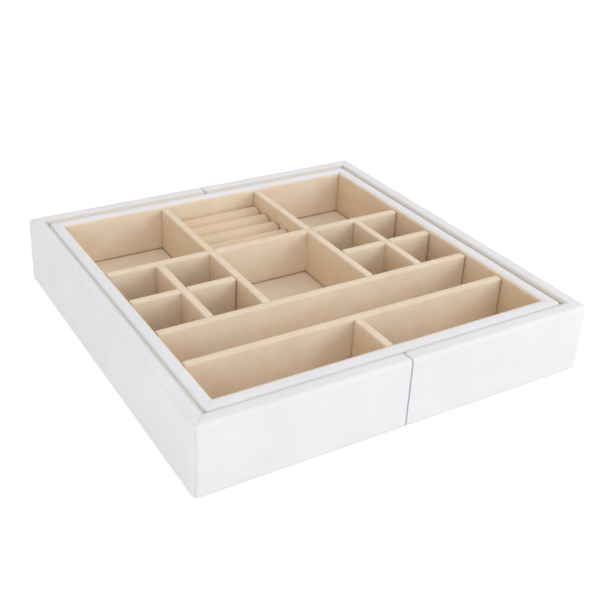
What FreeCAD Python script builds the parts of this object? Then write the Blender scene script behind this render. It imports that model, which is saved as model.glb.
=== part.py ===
"""Expandable jewelry tray: two sliding outer halves, and the compartment insert that rests across both.

Every wall is a board in a leatherette cover with a velvet panel on its inner face. The covers are mitred
at the corners and closed at the seam between the halves. Where the insert's dividers cross, they lap half
into each other.
Frame: +X to the right half, +Y to the back, +Z up, origin at the middle of the footprint on the table.
"""
import FreeCAD, Part
import os
from collections import namedtuple

import Sketcher

# Driving sizes in millimetres: name, value, what it is
SIZES = (
    ("tray_width", "335", "outside width with the halves closed"),
    ("tray_depth", "335", "outside depth"),
    ("tray_height", "57", "table to the rim of the halves"),
    ("seam_gap", "0.8", "gap between the closed halves"),
    ("leather", "0.8", "leatherette cover"),
    ("turn_under", "15", "leatherette glued under the floor, from the outer face"),
    ("half_wall_board", "10.6", "wall board of a half"),
    ("insert_wall_board", "9.4", "wall board of the insert"),
    ("board_bevel", "2", "bevelled top edges of a wall board"),
    ("corner_ease", "0.9", "how much more a standing corner is rounded than the rim"),
    ("seam_rounding", "1.2", "rounded cover edges at the seam"),
    ("wall_lining", "0.7", "velvet on card, on the walls"),
    ("lining_drop", "1.5", "rim down to the top of a wall lining"),
    ("lining_rounding", "0.4", "rounded top edge of a wall lining"),
    ("felt_stand", "0.6", "base felt below the leatherette"),
    ("felt_margin", "3", "base felt back from the turned-under leatherette and the seam"),
    ("half_floor_board", "5", "floor board of a half"),
    ("half_floor_lining", "1.4", "velvet on the floor of a half"),
    ("slide_gap", "0.3", "running clearance under the insert"),
    ("insert_play", "0.8", "running clearance beside the insert"),
    ("insert_drop", "1.2", "rim of the halves down to the rim of the insert"),
    ("insert_floor_board", "4", "floor board of the insert"),
    ("cell_lining", "1.4", "velvet on the floor of the compartments"),
    ("underlay_margin", "0.5", "backing sheet back from the turned-under leatherette"),
    ("divider", "6.8", "velvet-covered divider"),
    ("divider_drop", "2.2", "rim of the insert down to the dividers"),
    ("divider_rounding", "1.5", "rounded top edges of a divider"),
    ("divider_fit", "0.25", "clearance where a divider meets a wall or another divider"),
    ("front_row_depth", "42.7", "compartments of the front row, front to back"),
    ("channel_depth", "38.2", "long compartment, front to back"),
    ("square_depth", "42.2", "small square compartments, front to back"),
    ("centre_width", "89.2", "middle compartments, side to side"),
    ("ring_bar_height", "27", "ring bars above the compartment floor"),
    ("ring_slot", "0.6", "slit between two ring bars"),
    ("ring_end_gap", "0.4", "ring bars back from the dividers at their ends"),
    ("ring_end_bevel", "1.5", "soft shoulder round the ends of a ring bar"),
)

RING_BARS = 5

# Sizes that follow from the driving ones: name, formula
LAYOUT = (
    ("half_width", "Sizes.tray_width / 2"),
    ("half_depth", "Sizes.tray_depth / 2"),
    ("seam", "Sizes.seam_gap / 2"),
    ("rim_radius", "Sizes.board_bevel + Sizes.leather"),
    ("board_corner", "Sizes.board_bevel + Sizes.corner_ease"),
    ("cover_corner", "Layout.board_corner + Sizes.leather"),
    # Levels of the halves
    ("half_floor_bottom", "Sizes.felt_stand + Sizes.leather"),
    ("half_floor_top", "Layout.half_floor_bottom + Sizes.half_floor_board"),
    ("half_lining_top", "Layout.half_floor_top + Sizes.half_floor_lining"),
    # Levels of the insert
    ("insert_bottom", "Layout.half_lining_top + Sizes.slide_gap"),
    ("insert_floor_bottom", "Layout.insert_bottom + Sizes.leather"),
    ("insert_floor_top", "Layout.insert_floor_bottom + Sizes.insert_floor_board"),
    ("cell_floor", "Layout.insert_floor_top + Sizes.cell_lining"),
    ("insert_rim", "Sizes.tray_height - Sizes.insert_drop"),
    ("divider_top", "Layout.insert_rim - Sizes.divider_drop"),
    ("lap_level", "(Layout.cell_floor + Layout.divider_top) / 2"),
    # Plan of the halves
    ("half_wall", "Sizes.half_wall_board + 2 * Sizes.leather"),
    ("half_inner_x", "Layout.half_width - Layout.half_wall"),
    ("half_inner_y", "Layout.half_depth - Layout.half_wall"),
    ("floor_lip", "Layout.seam + Sizes.half_floor_lining"),
    # Plan of the insert
    ("insert_half_width", "Layout.half_inner_x - Sizes.wall_lining - Sizes.insert_play"),
    ("insert_half_depth", "Layout.half_inner_y - Sizes.wall_lining - Sizes.insert_play"),
    ("insert_wall", "Sizes.insert_wall_board + 2 * Sizes.leather"),
    ("insert_inner_x", "Layout.insert_half_width - Layout.insert_wall"),
    ("insert_inner_y", "Layout.insert_half_depth - Layout.insert_wall"),
    ("cell_x", "Layout.insert_inner_x - Sizes.wall_lining"),
    ("cell_y", "Layout.insert_inner_y - Sizes.wall_lining"),
    # Middle planes of the dividers, from the front. The back row takes what is left
    ("channel_front_y", "Sizes.front_row_depth + Sizes.divider / 2 - Layout.cell_y"),
    ("channel_back_y", "Layout.channel_front_y + Sizes.channel_depth + Sizes.divider"),
    ("cross_divider_y", "Layout.channel_back_y + Sizes.square_depth + Sizes.divider"),
    ("back_divider_y", "Layout.cross_divider_y + Sizes.square_depth + Sizes.divider"),
    ("back_row_depth", "Layout.cell_y - Layout.back_divider_y - Sizes.divider / 2"),
    ("column_x", "(Sizes.centre_width + Sizes.divider) / 2"),
    ("square_x", "(Layout.cell_x + Layout.column_x + Sizes.divider / 2) / 2"),
    # From a divider's middle plane to what butts against it, and from a wall to a divider's end
    ("butt", "Sizes.divider / 2 + Sizes.divider_fit"),
    ("reach_x", "Layout.cell_x - Sizes.divider_fit"),
    ("reach_y", "Layout.cell_y - Sizes.divider_fit"),
    # Ring bars
    ("ring_pitch", f"Layout.back_row_depth / {RING_BARS}"),
    ("ring_half", "(Layout.ring_pitch - Sizes.ring_slot) / 2"),
    ("ring_spring", "Layout.cell_floor + Sizes.ring_bar_height - Layout.ring_half"),
)

# How a wall is built up: board and whole thickness, then levels from the cover's foot to the rim
WallBuild = namedtuple("WallBuild", "board thickness foot board_foot lining_foot rim")
HALF_WALL = WallBuild("Sizes.half_wall_board", "Layout.half_wall", "Sizes.felt_stand",
                      "Layout.half_floor_top", "Layout.half_lining_top", "Sizes.tray_height")
INSERT_WALL = WallBuild("Sizes.insert_wall_board", "Layout.insert_wall", "Layout.insert_bottom",
                        "Layout.insert_floor_top", "Layout.cell_floor", "Layout.insert_rim")

# Where a piece stands: x and y formulas and the turn about Z in degrees
Spot = namedtuple("Spot", "x y turn", defaults=("0", "0", 0))

# The end of a wall: where it is along the wall, and whether it is mitred at a corner or square at the seam
WallEnd = namedtuple("WallEnd", "x mitred")

doc = FreeCAD.newDocument("jewelry_tray")
sub_parts = []


def fill_sheet(name, rows):
    """Write a sheet of named cells, one row each."""
    sheet = doc.addObject("Spreadsheet::Sheet", name)
    for number, (alias, content, note) in enumerate(rows, start=1):
        sheet.set(f"A{number}", note)
        sheet.setAlias(f"B{number}", alias)
        sheet.set(f"B{number}", content)
    doc.recompute()
    return sheet


sizes = fill_sheet("Sizes", SIZES)
layout = fill_sheet("Layout", [(alias, f"={formula}", alias) for alias, formula in LAYOUT])


def value(formula):
    """Number that a formula gives now."""
    return float(sizes.evalExpression(formula))


def keep(piece, label):
    """Name a finished sub-part and list it for export."""
    piece.Label = label
    sub_parts.append(piece)


def place(piece, spot):
    """Bind a piece's place to the sheets."""
    piece.Placement.Rotation = FreeCAD.Rotation(FreeCAD.Vector(0, 0, 1), spot.turn)
    piece.setExpression("Placement.Base.x", spot.x)
    piece.setExpression("Placement.Base.y", spot.y)
    doc.recompute()


def new_body(label):
    return doc.addObject("PartDesign::Body", f"{label}_body")


def new_sketch(body, plane_role, lift="0"):
    """Sketch on one of the body's own origin planes, moved along the plane's normal."""
    sketch = body.newObject("Sketcher::SketchObject", "Sketch")
    plane = next(item for item in body.Origin.OriginFeatures if item.Role == plane_role)
    sketch.AttachmentSupport = (plane, "")
    sketch.MapMode = "FlatFace"
    sketch.setExpression("AttachmentOffset.Base.z", lift)
    return sketch


def bind(sketch, kind, formula, *target):
    """Add a dimension to a sketch and bind it to the sheets."""
    index = sketch.addConstraint(Sketcher.Constraint(kind, *target, value(formula)))
    sketch.setExpression(f"Constraints[{index}]", formula)


def vector(formulas):
    """Point in a sketch from its two formulas."""
    return FreeCAD.Vector(value(formulas[0]), value(formulas[1]), 0)


def head_of(sketch, number, point):
    """Which end of a sketch edge, 1 or 2, lies at the point: arcs are stored turning left."""
    first, second = ((sketch.getPoint(number, end) - point).Length for end in (1, 2))
    return 1 if first <= second else 2


def outline(sketch, path):
    """Closed outline through corners (x, y). (radius, x, y) between two makes that edge an arc about x, y."""
    corners, arcs = [], {}
    for item in path:
        if len(item) == 2:
            corners.append(item)
        else:
            arcs[len(corners) - 1] = item
    points = [vector(corner) for corner in corners]
    count = len(corners)
    for number, start in enumerate(points):
        end = points[(number + 1) % count]
        edge = Part.LineSegment(start, end)
        if number in arcs:
            radius, *centre = arcs[number]
            spoke = (start + end) / 2 - vector(centre)
            edge = Part.Arc(start, vector(centre) + spoke * (value(radius) / spoke.Length), end)
        sketch.addGeometry(edge, False)
    heads = [head_of(sketch, number, point) for number, point in enumerate(points)]
    for number, head in enumerate(heads):
        after = (number + 1) % count
        sketch.addConstraint(Sketcher.Constraint("Coincident", number, 3 - head, after, heads[after]))
    for number, (x, y) in enumerate(corners):
        bind(sketch, "DistanceX", x, -1, 1, number, heads[number])
        bind(sketch, "DistanceY", y, -1, 1, number, heads[number])
    for number, arc in arcs.items():
        bind(sketch, "Radius", arc[0], number)


def pad(body, sketch, length, both_ways=False):
    feature = body.newObject("PartDesign::Pad", "Pad")
    feature.Profile = sketch
    feature.SideType = "Symmetric" if both_ways else "One side"
    feature.setExpression("Length", length)
    doc.recompute()


def dress_edges(body, kind, amount, formula, chosen):
    """Add a fillet or chamfer on the edges of the body so far that the test picks."""
    base = body.Tip
    names = [f"Edge{number}" for number, edge in enumerate(base.Shape.Edges, start=1) if chosen(edge)]
    if not names:
        raise RuntimeError(f"{body.Name}: no edge to dress")
    feature = body.newObject(f"PartDesign::{kind}", kind)
    feature.Base = (base, names)
    feature.setExpression(amount, formula)
    doc.recompute()


def round_edges(body, radius, chosen):
    dress_edges(body, "Fillet", "Radius", radius, chosen)


def bevel_edges(body, width, chosen):
    dress_edges(body, "Chamfer", "Size", width, chosen)


def same(one, other):
    """Whether two coordinates are one place."""
    return abs(one - other) <= value("Sizes.tray_width") * Part.Precision.confusion()


def lies_at(edge, axis, level):
    """Whether an edge lies in the plane where the coordinate has that value."""
    box = edge.BoundBox
    return same(getattr(box, f"{axis}Min"), level) and same(getattr(box, f"{axis}Max"), level)


def rises_above(edge, level):
    top = edge.BoundBox.ZMax
    return top > level and not same(top, level)


def is_straight(edge):
    return isinstance(edge.Curve, Part.Line)


def runs_along(edge, axis):
    """Whether an edge is straight and parallel to the axis."""
    return is_straight(edge) and same(abs(getattr(edge.Curve.Direction, axis)), 1)


def slab(label, left, right, front, back, bottom, thickness):
    """Flat rectangular piece."""
    body = new_body(label)
    sketch = new_sketch(body, "XY_Plane", bottom)
    outline(sketch, [(left, front), (right, front), (right, back), (left, back)])
    pad(body, sketch, thickness)
    return body


def end_plan(end, inward, outer, inner, corner):
    """Plan of a wall's end from outer face to inner face. A mitred end has half of the rounded corner."""
    if not end.mitred:
        return [(end.x, outer), (end.x, inner)]
    bevel = f"{corner} * (1 - sqrt(2) / 2)"
    centre = (f"{end.x} {inward} {corner}", f"{outer} + {corner}")
    return [(centre[0], outer), (corner, *centre), (f"{end.x} {inward} {bevel}", f"{outer} + {bevel}"),
            (f"{end.x} {inward} ({inner} - ({outer}))", inner)]


def wall_plan(start, end, outer, inner, corner):
    """Plan of a wall along X, its outer face towards -Y."""
    return end_plan(start, "+", outer, inner, corner)[::-1] + end_plan(end, "-", outer, inner, corner)


def wall_bar(label, start, end, outer, inner, bottom, top, corner, dress, rim):
    """Solid wall with rounded corners, and a rim that is rounded or bevelled."""
    body = new_body(label)
    sketch = new_sketch(body, "XY_Plane", bottom)
    outline(sketch, wall_plan(start, end, outer, inner, corner))
    pad(body, sketch, f"{top} - ({bottom})")
    level = value(top)

    def on_rim(edge):
        closes_end = is_straight(edge) and not runs_along(edge, "x")
        return lies_at(edge, "Z", level) and not closes_end

    dress(body, rim, on_rim)
    return body


def wall_board(label, start, end, build):
    """Wall board: the wall without its cover, its top edges bevelled for the cover to turn over."""
    inset_start = WallEnd(f"{start.x} + Sizes.leather", start.mitred)
    inset_end = WallEnd(f"{end.x} - Sizes.leather", end.mitred)
    return wall_bar(label, inset_start, inset_end, "Sizes.leather", f"Sizes.leather + {build.board}",
                    build.board_foot, f"{build.rim} - Sizes.leather", "Layout.board_corner",
                    bevel_edges, "Sizes.board_bevel")


def wall_cover(label, start, end, build, spot, cores):
    """Leatherette cover: a wall and its turned-under strip, less the boards inside it."""
    cover = wall_bar(label, start, end, "0", build.thickness, build.foot, build.rim,
                     "Layout.cover_corner", round_edges, "Layout.rim_radius")
    strip = new_sketch(cover, "XY_Plane", build.foot)
    outline(strip, wall_plan(start, end, "0", "Sizes.turn_under", "Layout.cover_corner"))
    pad(cover, strip, "Sizes.leather")
    strip_top = value(f"{build.foot} + Sizes.leather")
    for seam in (value(mark.x) for mark in (start, end) if not mark.mitred):
        round_edges(cover, "Sizes.seam_rounding",
                    lambda edge: lies_at(edge, "X", seam) and rises_above(edge, strip_top))
    place(cover, spot)
    for core in cores:
        cut = doc.addObject("Part::Cut", f"{label}_cut")
        cut.Base = cover
        cut.Tool = core
        cover = cut
    doc.recompute()
    return cover


def wall_lining(label, left, right, build):
    """Velvet panel on a wall's inner face, its top edge rounded towards the inside."""
    inner = f"{build.thickness} + Sizes.wall_lining"
    top = f"{build.rim} - Sizes.lining_drop"
    body = slab(label, left, right, build.thickness, inner, build.lining_foot, f"{top} - {build.lining_foot}")
    level, face = value(top), value(inner)
    round_edges(body, "Sizes.lining_rounding",
                lambda edge: lies_at(edge, "Z", level) and lies_at(edge, "Y", face))
    return body


def build_wall(name, ends, lining_ends, build, spot, floor):
    """One wall: board, cover round the board and the floor's edge, and velvet panel."""
    board = wall_board(f"{name}_board", *ends, build)
    place(board, spot)
    keep(board, f"{name}_board")
    keep(wall_cover(f"{name}_cover", *ends, build, spot, (board, floor)), f"{name}_cover")
    lining = wall_lining(f"{name}_lining", *lining_ends, build)
    place(lining, spot)
    keep(lining, f"{name}_lining")


def floor_board(label, left, right, depth, bottom, thickness, rounded_ends):
    """Floor board, rounded at the corners that stand in a cover."""
    body = slab(label, left, right, f"-({depth})", depth, bottom, thickness)
    ends = [value(end) for end in rounded_ends]
    round_edges(body, "Layout.board_corner",
                lambda edge: runs_along(edge, "z") and any(lies_at(edge, "X", end) for end in ends))
    return body


def build_half(side, half_turn):
    """One outer half, drawn as the right one. The left one is the same, turned half round."""
    turned = Spot(turn=half_turn)
    flip = "" if half_turn == 0 else "-"
    near, far = ("front", "back") if half_turn == 0 else ("back", "front")

    end_x = "Layout.half_width - Sizes.leather"
    floor = floor_board(f"{side}_floor_board", "Layout.floor_lip", end_x, "Layout.half_depth - Sizes.leather",
                        "Layout.half_floor_bottom", "Sizes.half_floor_board", [end_x])
    place(floor, turned)
    keep(floor, f"{side}_floor_board")

    lining_x = "Layout.half_inner_x - Sizes.wall_lining"
    build_wall(f"{side}_{near}", (WallEnd("Layout.seam", False), WallEnd("Layout.half_width", True)),
               ("Layout.seam", lining_x), HALF_WALL, Spot("0", f"-{flip}Layout.half_depth", half_turn), floor)
    build_wall(f"{side}_{far}", (WallEnd("-Layout.half_width", True), WallEnd("-Layout.seam", False)),
               (f"-({lining_x})", "-Layout.seam"), HALF_WALL,
               Spot("0", f"{flip}Layout.half_depth", half_turn + 180), floor)
    build_wall(f"{side}_end", (WallEnd("-Layout.half_depth", True), WallEnd("Layout.half_depth", True)),
               ("-Layout.half_inner_y", "Layout.half_inner_y"), HALF_WALL,
               Spot(f"{flip}Layout.half_width", "0", half_turn + 90), floor)

    # Floor velvet, turned down over the floor board's edge at the seam
    lining = new_body(f"{side}_floor_lining")
    profile = new_sketch(lining, "XZ_Plane")
    low, board, top = "Layout.half_floor_bottom", "Layout.half_floor_top", "Layout.half_lining_top"
    outline(profile, [("Layout.seam", low), ("Layout.floor_lip", low), ("Layout.floor_lip", board),
                      ("Layout.half_inner_x", board), ("Layout.half_inner_x", top), ("Layout.seam", top)])
    pad(lining, profile, "2 * Layout.half_inner_y", both_ways=True)
    place(lining, turned)
    keep(lining, f"{side}_floor_lining")

    inset = "(Sizes.turn_under + Sizes.felt_margin)"
    felt = slab(f"{side}_base_felt", "Layout.seam + Sizes.felt_margin", f"Layout.half_width - {inset}",
                f"-Layout.half_depth + {inset}", f"Layout.half_depth - {inset}", "0", low)
    place(felt, turned)
    keep(felt, f"{side}_base_felt")


def build_insert_case():
    """Floor, walls and velvet of the insert."""
    end_x = "Layout.insert_half_width - Sizes.leather"
    floor = floor_board("insert_floor_board", f"-({end_x})", end_x,
                        "Layout.insert_half_depth - Sizes.leather", "Layout.insert_floor_bottom",
                        "Sizes.insert_floor_board", [f"-({end_x})", end_x])
    keep(floor, "insert_floor_board")

    wide, deep = "Layout.insert_half_width", "Layout.insert_half_depth"
    walls = (("front", wide, "Layout.cell_x", Spot("0", f"-{deep}", 0)),
             ("right", deep, "Layout.insert_inner_y", Spot(wide, "0", 90)),
             ("back", wide, "Layout.cell_x", Spot("0", deep, 180)),
             ("left", deep, "Layout.insert_inner_y", Spot(f"-{wide}", "0", 270)))
    for name, reach, lining_reach, spot in walls:
        build_wall(f"insert_{name}", (WallEnd(f"-{reach}", True), WallEnd(reach, True)),
                   (f"-{lining_reach}", lining_reach), INSERT_WALL, spot, floor)

    lining = slab("insert_floor_lining", "-Layout.insert_inner_x", "Layout.insert_inner_x",
                  "-Layout.insert_inner_y", "Layout.insert_inner_y",
                  "Layout.insert_floor_top", "Sizes.cell_lining")
    keep(lining, "insert_floor_lining")

    inset = "(Sizes.turn_under + Sizes.underlay_margin)"
    underlay = slab("insert_underlay", f"-{wide} + {inset}", f"{wide} - {inset}", f"-{deep} + {inset}",
                    f"{deep} - {inset}", "Layout.insert_bottom", "Sizes.leather")
    keep(underlay, "insert_underlay")


def divider(label, start, end, laps, from_top):
    """Velvet-covered plate along X about its middle plane, with half laps cut from its top or its foot."""
    floor, top = "Layout.cell_floor", "Layout.divider_top"
    level, easing = (top, "-") if from_top else (floor, "+")
    bed = f"Layout.lap_level {easing} Sizes.divider_fit / 2"
    notches = []
    for middle in laps:
        before, behind = f"{middle} - Layout.butt", f"{middle} + Layout.butt"
        notches += [(before, level), (before, bed), (behind, bed), (behind, level)]
    lower = [] if from_top else notches
    upper = notches[::-1] if from_top else []

    body = new_body(label)
    sketch = new_sketch(body, "XZ_Plane")
    outline(sketch, [(start, floor), *lower, (end, floor), (end, top), *upper, (start, top)])
    pad(body, sketch, "Sizes.divider", both_ways=True)
    rim = value(top)
    round_edges(body, "Sizes.divider_rounding",
                lambda edge: lies_at(edge, "Z", rim) and runs_along(edge, "x"))
    return body


def build_dividers():
    """The grid. Plates along Y pass over the plates along X that they cross."""
    inner_end = "(Layout.column_x + Layout.butt)"
    across = (
        ("back_row_divider", "-Layout.reach_x", "Layout.reach_x",
         ["-Layout.column_x", "Layout.column_x"], "Layout.back_divider_y"),
        ("left_square_crosspiece", "-Layout.reach_x", f"-{inner_end}",
         ["-Layout.square_x"], "Layout.cross_divider_y"),
        ("right_square_crosspiece", inner_end, "Layout.reach_x",
         ["Layout.square_x"], "Layout.cross_divider_y"),
        ("channel_back_divider", "-Layout.reach_x", "Layout.reach_x", [], "Layout.channel_back_y"),
        ("channel_front_divider", "-Layout.reach_x", "Layout.reach_x", [], "Layout.channel_front_y"),
    )
    for label, start, end, laps, y in across:
        plate = divider(label, start, end, laps, True)
        place(plate, Spot(y=y))
        keep(plate, label)

    front = "Layout.channel_back_y + Layout.butt"
    back = "Layout.back_divider_y - Layout.butt"
    along = (
        ("left_column_divider", front, "Layout.reach_y", ["Layout.back_divider_y"], "-Layout.column_x"),
        ("right_column_divider", front, "Layout.reach_y", ["Layout.back_divider_y"], "Layout.column_x"),
        ("left_square_divider", front, back, ["Layout.cross_divider_y"], "-Layout.square_x"),
        ("right_square_divider", front, back, ["Layout.cross_divider_y"], "Layout.square_x"),
        ("front_row_divider", "-Layout.reach_y", "Layout.channel_front_y - Layout.butt", [], "0"),
    )
    for label, start, end, laps, x in along:
        plate = divider(label, start, end, laps, False)
        place(plate, Spot(x=x, turn=90))
        keep(plate, label)


def ring_bar(label):
    """Velvet-covered foam bar: straight sides under a half-round crown, soft at both ends."""
    half, foot, spring = "Layout.ring_half", "Layout.cell_floor", "Layout.ring_spring"
    crown = (half, "0", spring)
    body = new_body(label)
    sketch = new_sketch(body, "YZ_Plane")
    outline(sketch, [(f"-{half}", foot), (half, foot), (half, spring), crown,
                     ("0", f"{spring} + {half}"), crown, (f"-{half}", spring)])
    pad(body, sketch, "Sizes.centre_width - 2 * Sizes.ring_end_gap", both_ways=True)
    base = value(foot)
    bevel_edges(body, "Sizes.ring_end_bevel",
                lambda edge: not runs_along(edge, "x") and not lies_at(edge, "Z", base))
    return body


def build_ring_bars():
    """Ring bars side by side in the middle compartment of the back row, from the back wall forwards."""
    for number in range(RING_BARS):
        bar = ring_bar(f"ring_bar_{number + 1}")
        place(bar, Spot(y=f"Layout.cell_y - Layout.ring_pitch * {number + 0.5}"))
        keep(bar, f"ring_bar_{number + 1}")


def check():
    """Stop if anything failed to build."""
    doc.recompute()
    for item in doc.Objects:
        if "Invalid" in item.State or "Error" in item.State:
            raise RuntimeError(f"{item.Label}: {item.State}")
    for piece in sub_parts:
        shape = piece.Shape
        if shape.isNull() or not shape.isValid() or len(shape.Solids) != 1:
            raise RuntimeError(f"{piece.Label}: not one valid solid")


def export():
    os.makedirs("parts", exist_ok=True)
    for piece in sub_parts:
        piece.Shape.exportStep(f"parts/{piece.Label}.step")


build_half("right", 0)
build_half("left", 180)
build_insert_case()
build_dividers()
build_ring_bars()
check()
export()
print(f"{len(sub_parts)} sub-parts written")
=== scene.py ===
"""Dresses the expandable jewelry tray: leatherette, velvet, padded ring bars and a stage.

Everything is in metres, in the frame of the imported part: +X to the right half, +Y to the back, +Z up.
"""
import math
from collections import namedtuple
from functools import partial

import bmesh
import bpy
from bpy.props import FloatProperty, FloatVectorProperty, PointerProperty
from mathutils import Matrix, Vector, noise


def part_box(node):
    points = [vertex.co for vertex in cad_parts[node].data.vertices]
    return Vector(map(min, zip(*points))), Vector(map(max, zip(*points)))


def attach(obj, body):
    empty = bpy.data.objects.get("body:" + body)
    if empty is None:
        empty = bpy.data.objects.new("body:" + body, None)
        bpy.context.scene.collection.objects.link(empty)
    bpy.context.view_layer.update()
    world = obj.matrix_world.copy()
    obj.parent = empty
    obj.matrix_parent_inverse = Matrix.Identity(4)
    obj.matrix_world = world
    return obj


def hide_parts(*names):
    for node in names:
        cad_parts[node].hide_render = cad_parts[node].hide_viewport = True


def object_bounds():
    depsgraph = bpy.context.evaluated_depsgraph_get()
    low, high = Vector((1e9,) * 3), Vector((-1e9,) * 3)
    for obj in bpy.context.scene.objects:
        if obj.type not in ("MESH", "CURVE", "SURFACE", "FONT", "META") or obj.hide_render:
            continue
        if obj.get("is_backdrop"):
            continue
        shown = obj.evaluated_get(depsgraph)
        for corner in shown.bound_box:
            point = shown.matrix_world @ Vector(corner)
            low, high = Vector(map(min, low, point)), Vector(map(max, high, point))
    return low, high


bl_info = {
    "name": "Jewelry tray",
    "version": (1, 0, 0),
    "blender": (4, 5, 0),
    "location": "View3D > Sidebar > Tray",
    "description": "Covers, linings, padding and stage of an expandable jewelry tray",
    "category": "Object",
}

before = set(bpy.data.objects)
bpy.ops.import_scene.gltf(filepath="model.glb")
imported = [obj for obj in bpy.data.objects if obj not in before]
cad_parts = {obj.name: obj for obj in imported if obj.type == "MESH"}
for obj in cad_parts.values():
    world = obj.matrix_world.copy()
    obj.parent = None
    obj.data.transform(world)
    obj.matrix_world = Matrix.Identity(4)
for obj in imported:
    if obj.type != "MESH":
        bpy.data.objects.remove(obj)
CAD_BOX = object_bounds()

MM = 0.001

# Half the turn of a square corner, where two covers meet
MITRE = math.pi / 4
# Points closer than this are one point
SAME_POINT = 0.001 * MM
# Bends, in degrees, past which an edge is shaded as sharp
SHARP_FOLD, SHARP_VELVET, SHARP_LAP = 40, 60, 50
# Rows of the mesh kept for the rounding at each end of a velvet-covered board
EDGE_ROWS = 3
# Sockets of a Mix node that mixes colours: its factor and its two colours
FACTOR, FIRST, SECOND = 0, 6, 7

HALVES = ("left", "right")
INSERT_WALLS = ("front", "back", "left", "right")
DIVIDERS_ALONG_X = ("back_row_divider", "left_square_crosspiece", "right_square_crosspiece",
                    "channel_back_divider", "channel_front_divider")
DIVIDERS_ALONG_Y = ("left_column_divider", "right_column_divider", "left_square_divider",
                    "right_square_divider", "front_row_divider")
RING_BARS = tuple(f"ring_bar_{number}" for number in range(1, 6))


def linear(code):
    """Linear colour with alpha from an sRGB hex code."""
    channels = []
    for start in (1, 3, 5):
        value = int(code[start:start + 2], 16) / 255
        channels.append(value / 12.92 if value <= 0.04045 else ((value + 0.055) / 1.055) ** 2.4)
    return (*channels, 1.0)


def darker(tone, share):
    """Linear colour at a share of its brightness."""
    return (*(share * value for value in tone[:3]), 1.0)


def length(name, description, millimetres):
    return FloatProperty(name=name, description=description, default=millimetres * MM,
                         subtype="DISTANCE", unit="LENGTH", precision=5)


def colour(name, description, code):
    return FloatVectorProperty(name=name, description=description, default=linear(code),
                               subtype="COLOR", size=4, min=0, max=1)


class TraySizes(bpy.types.PropertyGroup):
    """Sizes of what is soft or rounded. The rest comes from the frame."""

    rim_rounding: length("Rim rounding", "Leatherette over the top edges of a wall", 3.1)
    foot_rounding: length("Foot rounding", "Leatherette over the bottom edge of a wall", 0.9)
    corner_rounding: length("Corner rounding", "Standing corners, in plan", 3.7)
    mitre_rounding: length("Mitre rounding", "Leatherette edge rolled into a mitre", 0.3)
    seam_rounding: length("Seam rounding", "Leatherette folded over the end of a wall", 1.7)
    seam_setback: length("Seam setback", "Folded end of a wall drawn in from the seam", 0.25)
    mitre_gap: length("Mitre gap", "From a cover's edge to the mitre plane", 0.02)
    cover_wave: length("Cover wave", "Height of the waves in the leatherette", 0.14)
    cover_wave_length: length("Cover wave length", "Width of the waves in the leatherette", 42)
    cover_step: length("Cover step", "Spacing of the mesh on a cover", 3.5)
    board_rounding: length("Velvet edge rounding", "Top edges of a velvet-covered divider", 1.1)
    board_foot_rounding: length("Velvet foot rounding", "Bottom edges of a velvet-covered divider", 0.9)
    board_end_gap: length("Divider end gap", "End of a divider drawn back from what it meets", 0.5)
    lap_slack: length("Lap slack", "Play on each side in the half lap of a divider", 0.12)
    lining_pile: length("Lining pile", "Pile standing into the play beside the insert", 0.5)
    lining_setback: length("Lining setback", "Velvet panel of a half back from the seam", 1.0)
    velvet_wave: length("Velvet wave", "Height of the waves in glued velvet", 0.07)
    velvet_wave_length: length("Velvet wave length", "Width of the waves in glued velvet", 24)
    velvet_step: length("Velvet step", "Spacing of the mesh on a velvet board", 4)
    crease_depth: length("Crease depth", "How far floor velvet is pressed down along a divider", 1.25)
    crease_width: length("Crease width", "How wide floor velvet is pressed down along a divider", 1.2)
    # Painted shade: height of the browner band at the foot of a wall or divider
    crease_shade_height: length("Crease height", "Pile pressed flat at the foot of a wall or divider", 0.8)
    ring_swell: length("Ring bar swell", "How far the velvet of a ring bar swells at most", 0.3)
    ring_end_rounding: length("Ring bar ends", "Padding rounded over at the ends of a ring bar", 2.4)


class TrayColours(bpy.types.PropertyGroup):
    """Colours of the finishes."""

    leatherette: colour("Leatherette", "White coated fabric", "#EFEEF1")
    leatherette_hollow: colour("Leatherette hollows", "Between the grains of the coating", "#E6E5E8")
    velvet: colour("Velvet", "Beige pile, seen along the fibres", "#DBC0A0")
    # Pale tones of brushed patches, also used as painted light on faces turned to the front or up
    velvet_nap_and_painted_light: colour("Velvet nap", "Beige pile, brushed towards the light", "#F0E4D2")
    ring_nap_and_painted_light: colour("Ring velvet nap", "Pile of the ring bars, brushed towards the light", "#E5D1B5")
    half_velvet: colour("Cream velvet", "Pile inside the halves, seen along the fibres", "#D9CFC0")
    # Pale tone of brushed patches inside the halves, also painted light on faces turned to the front or up
    half_velvet_nap_and_painted_light: colour("Cream velvet nap", "Pile inside the halves, brushed", "#DDD9D3")
    velvet_sheen: colour("Velvet sheen", "Light caught by the fibre tips", "#FFE6C6")
    # Painted shade: browner colour at the foot of walls and dividers and down in the floor crease
    velvet_crease_shade: colour("Velvet crease", "Pile pressed flat along the floor joints", "#BE8448")
    board: colour("Fibreboard", "Raw board inside the walls", "#B08E66")
    felt: colour("Felt", "Pressed felt under the tray", "#D8D0C2")
    floor: colour("Floor", "Studio floor", "#F4F4F4")


def add_node(tree, kind, inputs=None, **settings):
    """Add a node with its settings. Inputs are values, or sockets or nodes (their first output) to link."""
    node = tree.nodes.new(kind)
    for name, setting in settings.items():
        setattr(node, name, setting)
    for key, given in (inputs or {}).items():
        if isinstance(given, bpy.types.Node):
            given = next(output for output in given.outputs if output.enabled)
        if isinstance(given, bpy.types.NodeSocket):
            tree.links.new(given, node.inputs[key])
        else:
            node.inputs[key].default_value = given
    return node


def empty_tree(owner):
    """Clear the nodes of a material or world. Returns add_node for its tree."""
    owner.use_nodes = True
    owner.node_tree.nodes.clear()
    return partial(add_node, owner.node_tree)


def per_mm(millimetres):
    """Texture scale that gives a pattern of that real size on Object coordinates in metres."""
    return 1 / (millimetres * MM)


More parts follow.
